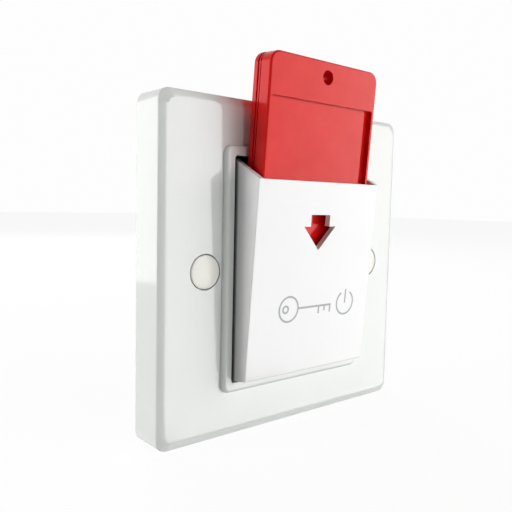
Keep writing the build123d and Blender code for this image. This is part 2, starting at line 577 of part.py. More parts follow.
def make_trip_lever():
    """The bell crank under the tag, at rest with its nose pressed down."""
    drop = math.radians(NOSE_DROP)
    nose = (PIVOT_DEPTH + NOSE_ARM * math.cos(drop), PIVOT_HEIGHT - NOSE_ARM * math.sin(drop))
    hub = Pos(PIVOT_DEPTH, PIVOT_HEIGHT) * Circle(HUB_RADIUS)
    neck = Pos(PIVOT_DEPTH, PIVOT_HEIGHT) * Circle(NOSE_RADIUS)
    nose_arm = make_hull(neck.edges() + (Pos(*nose) * Circle(NOSE_RADIUS)).edges())
    tail_arm = make_hull(neck.edges() + (Pos(TAIL_TIP_DEPTH, TAIL_TIP_HEIGHT) * Circle(TAIL_RADIUS)).edges())
    lever = side_view(hub, NOSE_WIDTH) + side_view(nose_arm, NOSE_WIDTH) + side_view(tail_arm, TAIL_WIDTH)
    lever -= side_view(Pos(PIVOT_DEPTH, PIVOT_HEIGHT) * Circle(PIN_RADIUS + PIN_RUN_GAP),
                       NOSE_WIDTH + OVERRUN)
    return lever


def make_lever_pin():
    """The steel pin through the lever's hub and the two lugs of the base."""
    return side_view(Pos(PIVOT_DEPTH, PIVOT_HEIGHT) * Circle(PIN_RADIUS),
                     2 * (PIN_HALF_LENGTH - PIN_SEAT_GAP))


def make_contact_carrier():
    """The sliding carrier: a shelf with a portal round each bridge and a stem on the lever's tail."""
    back = CARRIER_DEPTH - CARRIER_DEEP / 2
    front = CARRIER_DEPTH + CARRIER_DEEP / 2
    shelf_width = 2 * POLE_OFFSET + PORTAL_WIDTH + 2 * PORTAL_POST
    carrier = block(shelf_width, SHELF_THICKNESS, back, front, y=SHELF_TOP - SHELF_THICKNESS / 2)
    bar_foot = BRIDGE_TOP + OVERTRAVEL
    portal_height = bar_foot + PORTAL_BAR - SHELF_TOP
    for x in POLES:
        portal = block(PORTAL_WIDTH, portal_height, back, front, x, SHELF_TOP + portal_height / 2)
        clear = bar_foot - SHELF_TOP
        portal -= block(PORTAL_WIDTH + OVERRUN, clear, back + PORTAL_POST, front - PORTAL_POST,
                        x, SHELF_TOP + clear / 2)
        carrier += portal
    stem_height = SHELF_FOOT - STEM_FOOT
    carrier += block(STEM_WIDTH, stem_height, CARRIER_DEPTH - STEM_DEEP / 2, CARRIER_DEPTH + STEM_DEEP / 2,
                     y=STEM_FOOT + stem_height / 2)
    spigot = Plane(origin=(0, SHELF_TOP, CARRIER_DEPTH), z_dir=(0, 1, 0))
    carrier += extrude(spigot * Circle(SPIGOT_RADIUS), amount=SPIGOT_LENGTH)
    return carrier


def make_bridge(x):
    """One contact bridge, with its ends turned down a little for stiffness."""
    bridge = block(2 * BRIDGE_HALF_LENGTH, BRIDGE_THICKNESS, CARRIER_DEPTH - BRIDGE_DEEP / 2,
                   CARRIER_DEPTH + BRIDGE_DEEP / 2, x, BRIDGE_TOP - BRIDGE_THICKNESS / 2)
    end_offset = BRIDGE_HALF_LENGTH - BRIDGE_THICKNESS / 2
    for side in (-1, 1):
        bridge += block(BRIDGE_THICKNESS, 2 * BRIDGE_THICKNESS, CARRIER_DEPTH - BRIDGE_DEEP / 2,
                        CARRIER_DEPTH + BRIDGE_DEEP / 2, x + side * end_offset,
                        BRIDGE_TOP - BRIDGE_THICKNESS)
    return bridge


def make_tips(places, foot):
    """Silver contact buttons, standing up the wall from one height."""
    buttons = []
    for x in places:
        plane = Plane(origin=(x, foot, CARRIER_DEPTH), z_dir=(0, 1, 0))
        button = extrude(plane * Circle(TIP_RADIUS), amount=TIP_HEIGHT)
        buttons.append(button)
    return Compound(buttons)


def make_fixed_contact(x):
    """A bent strip: its foot carries a tip over the bridge, its head lies on the terminal block."""
    leg_back = BLOCK_FRONT
    leg_front = BLOCK_FRONT + STRIP_THICKNESS
    foot_back = CARRIER_DEPTH - BRIDGE_DEEP / 2
    foot_top = STRIP_FOOT + STRIP_THICKNESS
    head = PARTITION_TOP + STRIP_HEAD
    profile = Polygon((foot_back, STRIP_FOOT), (leg_front, STRIP_FOOT), (leg_front, head),
                      (leg_back, head), (leg_back, foot_top), (foot_back, foot_top), align=None)
    strip = side_view(profile, STRIP_WIDTH, x)
    bend = [edge for edge in strip.edges().filter_by(Axis.X)
            if abs(edge.center().Z - leg_front) < STRIP_BEND and edge.center().Y < foot_top]
    return fillet(bend, STRIP_BEND)


def make_terminal_block(x):
    """A brass block: wire bore from above, screw thread from behind."""
    height = PARTITION_TOP + BLOCK_HEIGHT / 2
    body = block(BLOCK_WIDTH, BLOCK_HEIGHT, BLOCK_BACK, BLOCK_FRONT, x, height)
    body = chamfer(body.edges().filter_by(Axis.Y), BLOCK_EDGE)
    bore = Plane(origin=(x, BLOCK_TOP - WIRE_DEPTH, BLOCK_DEPTH), z_dir=(0, 1, 0))
    body -= extrude(bore * Circle(WIRE_RADIUS), amount=WIRE_DEPTH + OVERRUN)
    body -= rod(TERMINAL_SCREW_RADIUS, BLOCK_BACK - OVERRUN, BLOCK_DEPTH, x, height)
    return body


def make_terminal_screws():
    """The four slotted terminal screws, backed off as supplied."""
    screws = []
    height = PARTITION_TOP + BLOCK_HEIGHT / 2
    head_front = BLOCK_BACK - TERMINAL_SCREW_PROUD
    head_back = head_front - TERMINAL_HEAD
    shank_end = BLOCK_DEPTH - WIRE_RADIUS
    for x in BAYS:
        screw = rod(TERMINAL_SCREW_RADIUS - PIN_SEAT_GAP, head_front, shank_end, x, height)
        screw += rod(TERMINAL_HEAD_RADIUS, head_back, head_front, x, height)
        screw -= screw_slot(TERMINAL_HEAD_RADIUS, head_back, x, height, towards_room=False)
        screws.append(screw)
    return Compound(screws)


def make_return_spring():
    """The spring that pushes the carrier down and so lifts the lever's nose."""
    spring = coil(RETURN_COIL_RADIUS, PARTITION_HEIGHT - SHELF_TOP, RETURN_TURNS)
    return Plane(origin=(0, SHELF_TOP, CARRIER_DEPTH), z_dir=(0, 1, 0)).location * spring


def make_bridge_springs():
    """The two springs that press the bridges against their contacts."""
    springs = []
    for x in POLES:
        spring = coil(BRIDGE_COIL_RADIUS, BRIDGE_FOOT - SHELF_TOP, BRIDGE_TURNS)
        springs.append(Plane(origin=(x, SHELF_TOP, CARRIER_DEPTH), z_dir=(0, 1, 0)).location * spring)
    return Compound(springs)


def make_fixing_screws():
    """The two raised countersunk screws that hold the plate on its wall box, plain at the neck."""
    screws = []
    cone = FIXING_HEAD_RADIUS - FIXING_NECK_RADIUS
    neck_foot = FIXING_BOSS_FOOT - RUN_GAP
    end = FIXING_HEAD_TOP - FIXING_LENGTH
    for x, y in FIXING_PLACES:
        screw = rod(FIXING_RADIUS, end, neck_foot, x, y)
        screw += rod(FIXING_NECK_RADIUS, neck_foot, FIXING_HEAD_TOP - cone, x, y)
        screw += loft([Pos(x, y, FIXING_HEAD_TOP - cone) * Circle(FIXING_NECK_RADIUS),
                       Pos(x, y, FIXING_HEAD_TOP) * Circle(FIXING_HEAD_RADIUS)])
        screw += loft([Pos(x, y, FIXING_HEAD_TOP) * Circle(FIXING_HEAD_RADIUS),
                       Pos(x, y, FIXING_HEAD_TOP + FIXING_HEAD_DOME) * Circle(FIXING_NECK_RADIUS)])
        screw -= screw_slot(FIXING_HEAD_RADIUS, FIXING_HEAD_TOP + FIXING_HEAD_DOME, x, y)
        screws.append(screw)
    return Compound(screws)


def make_screw_caps():
    """The two domed caps over the fixing screws, each a turned cup."""
    caps = []
    dome_radius = (CAP_RADIUS ** 2 + CAP_DOME ** 2) / (2 * CAP_DOME)
    skin_back = PLATE_DEPTH - CAP_SKIN
    for x, y in FIXING_PLACES:
        ball = Pos(x, y, PLATE_DEPTH + CAP_DOME - dome_radius) * Sphere(dome_radius)
        cap = rod(CAP_RADIUS, CAP_SEAT, PLATE_DEPTH + CAP_DOME, x, y) & ball
        cap -= rod(CAP_RADIUS - CAP_SKIRT_WALL, CAP_SEAT - OVERRUN, skin_back, x, y)
        caps.append(cap)
    return Compound(caps)


def make_small_screws(places, head_front, length):
    """Self-tapping screws driven from behind, with slotted pan heads."""
    screws = []
    for x, y in places:
        head_back = head_front - SMALL_HEAD
        screw = rod(SMALL_SCREW_RADIUS - PIN_SEAT_GAP, head_front, head_front + length, x, y)
        screw += rod(SMALL_HEAD_RADIUS, head_back, head_front, x, y)
        screw -= screw_slot(SMALL_HEAD_RADIUS, head_back, x, y, towards_room=False)
        screws.append(screw)
    return Compound(screws)


def make_all():
    """Every piece of the switch by name, in the drawing's frame."""
    pieces = {
        "face_plate": make_face_plate(),
        "module_frame": make_module_frame(),
        "key_pocket": make_key_pocket(),
        "tag_front": make_tag_front(),
        "tag_back": make_tag_back(),
        "works_front": make_works_front(),
        "switch_base": make_switch_base(),
        "rear_cover": make_rear_cover(),
        "trip_lever": make_trip_lever(),
        "lever_pin": make_lever_pin(),
        "contact_carrier": make_contact_carrier(),
        "return_spring": make_return_spring(),
        "bridge_springs": make_bridge_springs(),
        "fixed_tips": make_tips(BAYS, CONTACT_HEIGHT),
        "moving_tips": make_tips(BAYS, BRIDGE_TOP),
        "terminal_screws": make_terminal_screws(),
        "fixing_screws": make_fixing_screws(),
        "screw_caps": make_screw_caps(),
        "housing_screws": make_small_screws(EAR_PLACES, EAR_FRONT - EAR_THICKNESS,
                                            EAR_THICKNESS + EAR_BOSS_LENGTH - SMALL_SCREW_TIP_GAP),
        "cover_screws": make_small_screws(COVER_SCREW_PLACES, BASE_BACK - COVER_THICKNESS,
                                          COVER_SCREW_LENGTH),
    }
    for name, x in zip(("left", "right"), POLES):
        pieces[f"bridge_{name}"] = make_bridge(x)
    for number, x in enumerate(BAYS, start=1):
        pieces[f"fixed_contact_{number}"] = make_fixed_contact(x)
        pieces[f"terminal_block_{number}"] = make_terminal_block(x)
    return pieces


os.makedirs("parts", exist_ok=True)
for node, piece in make_all().items():
    standing = Compound([STAND_UP * solid for solid in piece.solids()])
    export_step(standing, f"parts/{node}.step")
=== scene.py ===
"""Looks of the key card switch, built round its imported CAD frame.

Lengths in the classes are millimetres in the drawing's frame: X across the plate, Y up the wall
and Z out of the wall. The row's frame, in metres, has +Z up the wall and the room towards -Y.
"""

import json
import logging
import math
from dataclasses import dataclass, field
from enum import Enum

import bmesh
import bpy
from mathutils import Matrix, Vector

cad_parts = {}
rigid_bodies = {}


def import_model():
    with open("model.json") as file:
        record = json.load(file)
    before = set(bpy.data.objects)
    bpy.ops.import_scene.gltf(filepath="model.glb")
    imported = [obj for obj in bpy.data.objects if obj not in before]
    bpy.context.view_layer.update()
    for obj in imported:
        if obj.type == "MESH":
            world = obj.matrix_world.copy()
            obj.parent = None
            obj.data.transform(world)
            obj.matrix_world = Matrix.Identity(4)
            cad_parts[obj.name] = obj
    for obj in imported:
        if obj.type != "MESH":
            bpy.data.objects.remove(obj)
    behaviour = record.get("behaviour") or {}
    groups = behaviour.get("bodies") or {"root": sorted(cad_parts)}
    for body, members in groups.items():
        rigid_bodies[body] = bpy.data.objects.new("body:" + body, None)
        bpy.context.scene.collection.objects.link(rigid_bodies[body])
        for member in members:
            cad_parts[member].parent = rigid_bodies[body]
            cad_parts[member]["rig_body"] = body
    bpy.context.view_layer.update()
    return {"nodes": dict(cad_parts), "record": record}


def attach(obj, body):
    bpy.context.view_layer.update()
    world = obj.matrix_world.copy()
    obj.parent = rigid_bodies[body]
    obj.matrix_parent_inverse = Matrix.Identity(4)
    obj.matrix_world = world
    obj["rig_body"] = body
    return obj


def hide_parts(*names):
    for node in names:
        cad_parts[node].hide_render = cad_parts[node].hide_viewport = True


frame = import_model()

LOG = logging.getLogger("key_card_switch")
MM = 0.001
TO_ROW = Matrix(((MM, 0, 0, 0), (0, 0, -MM, 0), (0, MM, 0, 0), (0, 0, 0, 1)))
TAG_LEAN = math.radians(4.5)
TAG_FACE_DEPTH = 17.4
SLOT = Matrix.Translation((0, 0, TAG_FACE_DEPTH)) @ Matrix.Rotation(TAG_LEAN, 4, "X")
SMOOTH_ANGLE = math.radians(38)
FULL_TURN = 360.0
NOISE_ROUGHNESS = 0.55
# The Mix node's colour sockets come after those for numbers and vectors.
COLOUR_A, COLOUR_B, COLOUR_MIXED = 6, 7, 2

Colour = tuple[float, float, float]
Socket = bpy.types.NodeSocket


class Body(Enum):
    """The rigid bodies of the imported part."""

    SWITCH = "switch"
    TAG = "tag"
    LEVER = "lever"
    CARRIER = "carrier"


class Slot(Enum):
    """The record's material slots."""

    WHITE = "white_moulding"
    CAP = "cap_moulding"
    TAG = "tag_moulding"
    BASE = "base_moulding"
    COVER = "cover_moulding"
    LEVER = "lever_moulding"
    CARRIER = "carrier_moulding"
    PIN = "pin_steel"
    SPRING = "spring_steel"
    COPPER = "contact_copper"
    SILVER = "contact_silver"
    BRASS = "terminal_brass"
    SCREW = "screw_steel"


class NodeSheet:
    """The node tree of a material or a world, with short ways to add and join nodes."""

    def __init__(self, holder: bpy.types.Material | bpy.types.World, output: str) -> None:
        """Empties the holder's tree and gives it an output.

        Args:
            holder: the material or world.
            output: the output node's type, without its ShaderNode prefix.
        """
        holder.use_nodes = True
        self.tree = holder.node_tree
        self.tree.nodes.clear()
        self.output = self.add(output)

    def add(self, kind: str, values: dict | None = None, **settings: object) -> bpy.types.Node:
        """Adds a node.

        Args:
            kind: the node's type, without its ShaderNode prefix.
            values: constants for its input sockets, by name or index.
            **settings: properties of the node itself.

        Returns:
            The new node.
        """
        node = self.tree.nodes.new(f"ShaderNode{kind}")
        for key, value in settings.items():
            setattr(node, key, value)
        for key, value in (values or {}).items():
            node.inputs[key].default_value = value
        return node

    def join(self, source: Socket, target: Socket) -> None:
        """Links one socket to another."""
        self.tree.links.new(source, target)

    def show(self, source: Socket) -> None:
        """Links a shader to the output."""
        self.join(source, self.output.inputs["Surface"])

    def place(self, scale: tuple[float, float, float] = (1, 1, 1)) -> Socket:
        """Object coordinates, stretched.

        Args:
            scale: the pattern's scale along X, Y and Z.

        Returns:
            The vector socket.
        """
        source = self.add("TexCoord")
        mapping = self.add("Mapping", {"Scale": scale})
        self.join(source.outputs["Object"], mapping.inputs["Vector"])
        return mapping.outputs["Vector"]

    def noise(self, where: Socket, size_mm: float, detail: float) -> Socket:
        """Smooth noise with grains of a given size.

        Args:
            where: the coordinates it reads.
            size_mm: the size of its largest grains.
            detail: how many finer layers it has.

        Returns:
            The grey value's socket.
        """
        values = {"Scale": 1 / (size_mm * MM), "Detail": detail,
                  "Roughness": NOISE_ROUGHNESS}
        node = self.add("TexNoise", values)
        self.join(where, node.inputs["Vector"])
        return node.outputs["Fac"]

    def remap(self, source: Socket, low: float, high: float, start: float = 0.3,
              end: float = 0.7) -> Socket:
        """Turns one range of a value into another.

        Args:
            source: the value.
            low: the result where the value is start.
            high: the result where the value is end.
            start: where the value's range starts.
            end: where it ends.

        Returns:
            The result's socket.
        """
        values = {"From Min": start, "From Max": end, "To Min": low, "To Max": high}
        node = self.add("MapRange", values)
        self.join(source, node.inputs["Value"])
        return node.outputs["Result"]

    def blend(self, share: Socket, first: Colour, second: Colour) -> Socket:
        """Mixes two plain colours.

        Args:
            share: the grey value, at 0 for the first colour and 1 for the second.
            first: the first colour.
            second: the second colour.

        Returns:
            The colour's socket.
        """
        node = self.add("Mix", data_type="RGBA")
        self.join(share, node.inputs["Factor"])
        node.inputs[COLOUR_A].default_value = (*first, 1)
        node.inputs[COLOUR_B].default_value = (*second, 1)
        return node.outputs[COLOUR_MIXED]

    def backdrop_share(self) -> Socket:
        """One where a camera, glossy or transmission ray looks, and zero elsewhere.

        Returns:
            The share's socket.
        """
        path = self.add("LightPath")
        seen = self.add("Math", operation="MAXIMUM")
        share = self.add("Math", operation="MAXIMUM")
        self.join(path.outputs["Is Camera Ray"], seen.inputs[0])
        self.join(path.outputs["Is Glossy Ray"], seen.inputs[1])
        self.join(seen.outputs[0], share.inputs[0])
        self.join(path.outputs["Is Transmission Ray"], share.inputs[1])
        return share.outputs[0]

    def bump(self, height: Socket, depth_mm: float, strength: float,
             under: Socket | None = None) -> Socket:
        """A relief of a given depth.

        Args:
            height: the grey value of the relief.
            depth_mm: how deep it goes from black to white.
            strength: how much of it shows.
            under: a normal that it adds to.

        Returns:
            The normal's socket.
        """
        node = self.add("Bump", {"Strength": strength, "Distance": depth_mm * MM})
        self.join(height, node.inputs["Height"])
        if under is not None:
            self.join(under, node.inputs["Normal"])
        return node.outputs["Normal"]


class MaterialSheet(NodeSheet):
    """The node tree of a new material."""

    def __init__(self, name: str) -> None:
        """Starts an empty material.

        Args:
            name: the material's name.
        """
        self.material = bpy.data.materials.new(name)
        super().__init__(self.material, "OutputMaterial")


@dataclass(frozen=True)
class PaintedGapShade:
    """Painted shade: how a moulding is painted darker where it goes down into a narrow gap,
    standing in for the shadow there.

    Bottom and mouth are places along Y, in millimetres. Each level gives a share of the way from
    the bottom to the mouth, and the light that is left there.
    """

    bottom: float = -11.5
    mouth: float = -16.5
    deepest_shade: float = 0.04
    levels: tuple[tuple[float, float], ...] = ((0.22, 0.30), (0.34, 0.76))

    def paint_shade(self, sheet: NodeSheet, where: Socket, colour: Socket) -> Socket:
        """Paints shade into a colour, darker with depth.

        Args:
            sheet: the material's nodes.
            where: the coordinates, of which Y is minus the depth.
            colour: the colour in the open.

        Returns:
            The socket of the colour with the painted shade.
        """
        axes = sheet.add("SeparateXYZ")
        sheet.join(where, axes.inputs["Vector"])
        depth = sheet.remap(axes.outputs["Y"], 0.0, 1.0, self.bottom * MM, self.mouth * MM)
        ramp = sheet.add("ValToRGB")
        stops = ramp.color_ramp.elements
        stops[0].color = (self.deepest_shade, self.deepest_shade, self.deepest_shade, 1)
        stops[1].color = (1, 1, 1, 1)
        for position, level in self.levels:
            stops.new(position).color = (level, level, level, 1)
        sheet.join(depth, ramp.inputs["Fac"])
        # Painted shade: the colour is multiplied by the ramp, darker towards the gap's bottom.
        painted_shade_mix = sheet.add("Mix", {"Factor": 1.0}, data_type="RGBA", blend_type="MULTIPLY")
        sheet.join(colour, painted_shade_mix.inputs[COLOUR_A])
        sheet.join(ramp.outputs["Color"], painted_shade_mix.inputs[COLOUR_B])
        return painted_shade_mix.outputs[COLOUR_MIXED]


@dataclass(frozen=True)
class Dust:
    """A few fine specks that lie on a moulding.

    Cover is how strongly they show in their middle. Core and rim are where they start and stop
    fading, as shares of their spacing.
    """

    cover: float
    spacing_mm: float = 2.4
    core: float = 0.03
    rim: float = 0.06
    colour: Colour = (0.35, 0.32, 0.28)

    def scatter(self, sheet: NodeSheet, where: Socket, colour: Socket) -> Socket:
        """Lays the specks over a colour.

        Args:
            sheet: the material's nodes.
            where: the coordinates.
            colour: the clean colour.

        Returns:
            The specked colour's socket.
        """
        values = {"Scale": 1 / (self.spacing_mm * MM), "Randomness": 1.0}
        dots = sheet.add("TexVoronoi", values)
        sheet.join(where, dots.inputs["Vector"])
        share = sheet.remap(dots.outputs["Distance"], self.cover, 0.0, self.core, self.rim)
        fleck = sheet.add("Mix", data_type="RGBA", blend_type="MULTIPLY")
        sheet.join(share, fleck.inputs["Factor"])
        sheet.join(colour, fleck.inputs[COLOUR_A])
        fleck.inputs[COLOUR_B].default_value = (*self.colour, 1)
        return fleck.outputs[COLOUR_MIXED]


@dataclass(frozen=True)
class MouldedPlastic:
    """An injection moulding: faint flow marks, a fine skin and perhaps dust or painted shade in a
    narrow gap.

    Colour and shade alternate with the flow marks, and the roughness goes up and down by the
    spread with them. Relief is how much of a depth shows.
    """

    name: str
    colour: Colour
    shade: Colour
    roughness: float
    spread: float = 0.05
    flow_mm: float = 14.0
    flow_depth_mm: float = 0.02
    flow_relief: float = 0.35
    skin_mm: float = 0.6
    skin_depth_mm: float = 0.002
    skin_relief: float = 0.6
    ior: float = 1.5
    sheen_tint: Colour = (1.0, 1.0, 1.0)
    dust: Dust | None = None
    painted_gap_shade: PaintedGapShade | None = None

    def build(self) -> bpy.types.Material:
        """Makes the material.

        Returns:
            The new material.
        """
        sheet = MaterialSheet(self.name)
        where = sheet.place()
        flow = sheet.noise(where, self.flow_mm, detail=4)
        skin = sheet.noise(where, self.skin_mm, detail=5)
        gloss = {"IOR": self.ior, "Specular Tint": (*self.sheen_tint, 1)}
        shader = sheet.add("BsdfPrincipled", gloss)
        colour = sheet.blend(sheet.remap(flow, 0.0, 1.0), self.colour, self.shade)
        # Painted shade: darker with depth in the bezel's gap, standing in for the shadow there.
        if self.painted_gap_shade:
            colour = self.painted_gap_shade.paint_shade(sheet, where, colour)
        if self.dust:
            colour = self.dust.scatter(sheet, where, colour)
        sheet.join(colour, shader.inputs["Base Color"])
        low, high = self.roughness - self.spread, self.roughness + self.spread
        sheet.join(sheet.remap(flow, low, high), shader.inputs["Roughness"])
        relief = sheet.bump(flow, self.flow_depth_mm, self.flow_relief)
        relief = sheet.bump(skin, self.skin_depth_mm, self.skin_relief, relief)
        sheet.join(relief, shader.inputs["Normal"])
        sheet.show(shader.outputs["BSDF"])
        return sheet.material


@dataclass(frozen=True)
class WorkedMetal:
    """Bare or plated metal with fine tool marks along one axis.

    Stretch is the marks' scale along each axis, so a small number draws them out. Smoother and
    rougher are how far the roughness goes down and up with the marks.
    """

    name: str
    colour: Colour
    shade: Colour
    roughness: float
    stretch: tuple[float, float, float] = (1, 1, 1)
    tarnish_mm: float = 3.0
    mark_mm: float = 0.35
    mark_depth_mm: float = 0.006
    mark_relief: float = 0.5
    smoother: float = 0.06
    rougher: float = 0.08

    def build(self) -> bpy.types.Material:
        """Makes the material.

        Returns:
            The new material.
        """
        sheet = MaterialSheet(self.name)
        tarnish = sheet.noise(sheet.place(), self.tarnish_mm, detail=4)
        marks = sheet.noise(sheet.place(self.stretch), self.mark_mm, detail=3)
        shader = sheet.add("BsdfPrincipled", {"Metallic": 1.0})
        colour = sheet.blend(sheet.remap(tarnish, 0.0, 1.0), self.colour, self.shade)
        sheet.join(colour, shader.inputs["Base Color"])
        low, high = self.roughness - self.smoother, self.roughness + self.rougher
        sheet.join(sheet.remap(marks, low, high), shader.inputs["Roughness"])
        relief = sheet.bump(marks, self.mark_depth_mm, self.mark_relief)
        sheet.join(relief, shader.inputs["Normal"])
        sheet.show(shader.outputs["BSDF"])
        return sheet.material


@dataclass(frozen=True)
class PrintInk:
    """Thin grey pad-printed ink, a little uneven."""

    name: str
    colour: Colour
    shade: Colour
    roughness: float = 0.45
    grain_mm: float = 0.5

    def build(self) -> bpy.types.Material:
        """Makes the material.

        Returns:
            The new material.
        """
        sheet = MaterialSheet(self.name)
        cover = sheet.noise(sheet.place(), self.grain_mm, detail=4)
        shader = sheet.add("BsdfPrincipled", {"Roughness": self.roughness})
        colour = sheet.blend(sheet.remap(cover, 0.0, 1.0), self.colour, self.shade)
        sheet.join(colour, shader.inputs["Base Color"])
        sheet.show(shader.outputs["BSDF"])
        return sheet.material


Finish = MouldedPlastic | WorkedMetal | PrintInk

FINISHES: dict[Slot, Finish] = {
    Slot.WHITE: MouldedPlastic(
        "white_gloss_moulding", (0.82, 0.84, 0.82), (0.80, 0.82, 0.80), 0.07,
        spread=0.02, dust=Dust(0.25)),
    Slot.CAP: MouldedPlastic(
        "cream_cap_moulding", (0.95, 0.95, 0.875), (0.93, 0.93, 0.855), 0.2),
    Slot.TAG: MouldedPlastic(
        "red_tag_moulding", (0.72, 0.011, 0.010), (0.65, 0.004, 0.004), 0.10, spread=0.03,
        flow_mm=7.0, skin_mm=0.9, skin_depth_mm=0.001, ior=1.45, sheen_tint=(1.0, 0.24, 0.22)),
    Slot.BASE: MouldedPlastic(
        "black_base_moulding", (0.022, 0.022, 0.024), (0.030, 0.030, 0.032), 0.45,
        skin_mm=0.35, skin_depth_mm=0.01),
    Slot.COVER: MouldedPlastic(
        "black_cover_moulding", (0.028, 0.028, 0.030), (0.036, 0.036, 0.038), 0.5,
        skin_mm=0.35, skin_depth_mm=0.012),
    Slot.LEVER: MouldedPlastic(
        "natural_nylon_lever", (0.66, 0.65, 0.58), (0.60, 0.59, 0.52), 0.4),
    Slot.CARRIER: MouldedPlastic(
        "brown_carrier_moulding", (0.30, 0.05, 0.03), (0.26, 0.04, 0.025), 0.45),
    Slot.PIN: WorkedMetal(
        "ground_pin_steel", (0.60, 0.60, 0.62), (0.52, 0.52, 0.54), 0.25, (0.1, 1, 1)),
    Slot.SPRING: WorkedMetal(
        "drawn_spring_steel", (0.56, 0.56, 0.58), (0.48, 0.48, 0.50), 0.32),
    Slot.COPPER: WorkedMetal(
        "rolled_contact_copper", (0.80, 0.42, 0.26), (0.70, 0.35, 0.22), 0.3, (1, 1, 0.08)),
    Slot.SILVER: WorkedMetal(
        "bright_contact_silver", (0.86, 0.86, 0.85), (0.78, 0.78, 0.76), 0.2),
    Slot.BRASS: WorkedMetal(
        "machined_terminal_brass", (0.78, 0.56, 0.24), (0.68, 0.47, 0.19), 0.28, (1, 1, 0.08)),
    Slot.SCREW: WorkedMetal(
        "zinc_plated_screw", (0.66, 0.66, 0.64), (0.56, 0.57, 0.55), 0.3),
}
# The pocket's white is painted darker down in the bezel's gap, as painted shade.
POCKET_FINISH = MouldedPlastic(
    "bright_white_pocket_painted_gap_shade", (0.915, 0.92, 0.915), (0.90, 0.905, 0.90), 0.12,
    spread=0.03, painted_gap_shade=PaintedGapShade())
INK = PrintInk("grey_print", (0.40, 0.40, 0.41), (0.48, 0.48, 0.49))


class Wardrobe:
    """Makes each finish once and puts it on pieces."""

    def __init__(self) -> None:
        """Starts with no material made."""
        self.made: dict[str, bpy.types.Material] = {}

    def of(self, finish: Finish) -> bpy.types.Material:
        """The material of a finish, made at its first use.

        Args:
            finish: the finish.

        Returns:
            Its material.
        """
        if finish.name not in self.made:
            self.made[finish.name] = finish.build()
        return self.made[finish.name]

    def dress(self, piece: bpy.types.Object, finish: Finish) -> None:
        """Puts one finish on a whole piece."""
        piece.data.materials.clear()
        piece.data.materials.append(self.of(finish))


WARDROBE = Wardrobe()


def settle(bm: bmesh.types.BMesh, name: str, body: Body) -> bpy.types.Object:
    """Turns a finished bmesh in the row's frame into a piece that rides on its body.

    Args:
        bm: the mesh, which is freed.
        name: the piece's name.
        body: the body that it rides on.

    Returns:
        The new object.
    """
    mesh = bpy.data.meshes.new(name)
    for face in bm.faces:
        face.smooth = True
    bm.to_mesh(mesh)
    bm.free()
    mesh.set_sharp_from_angle(angle=SMOOTH_ANGLE)
    piece = bpy.data.objects.new(name, mesh)
    bpy.context.scene.collection.objects.link(piece)
    normals = piece.modifiers.new("face_weighted", "WEIGHTED_NORMAL")
    normals.keep_sharp = True
    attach(piece, body.value)
    return piece


@dataclass
class EasedCopy:
    """A CAD node's own shape with its sharp edges eased, as a mould leaves them.

    Corners closer than the weld are merged, joints flatter than the flat angle are dissolved, and
    edges sharper than the sharp angle are eased in steps. Angles are in degrees.
    """

    node: str
    body: Body
    slot: Slot
    ease: float = 0.12
    steps: int = 3
    sharp_angle: float = 40.0
    flat_angle: float = 0.4
    weld: float = 0.002

    def build(self) -> bpy.types.Object:
        """Copies, merges and eases the node's mesh and stands it in for the node.

        Returns:
            The new piece.
        """
        bm = bmesh.new()
        bm.from_mesh(frame["nodes"][self.node].data)
        bmesh.ops.remove_doubles(bm, verts=bm.verts, dist=self.weld * MM)
        bmesh.ops.dissolve_limit(bm, angle_limit=math.radians(self.flat_angle),
                                 verts=bm.verts, edges=bm.edges)
        sharp = [edge for edge in bm.edges if len(edge.link_faces) == 2
                 and edge.calc_face_angle(0) > math.radians(self.sharp_angle)]
        bmesh.ops.bevel(bm, geom=sharp, offset=self.ease * MM, offset_type="OFFSET",
                        affect="EDGES", segments=self.steps, profile=0.5, material=-1,
                        clamp_overlap=True)
        piece = settle(bm, f"{self.node}_moulded", self.body)
        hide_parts(self.node)
        WARDROBE.dress(piece, FINISHES[self.slot])
        return piece


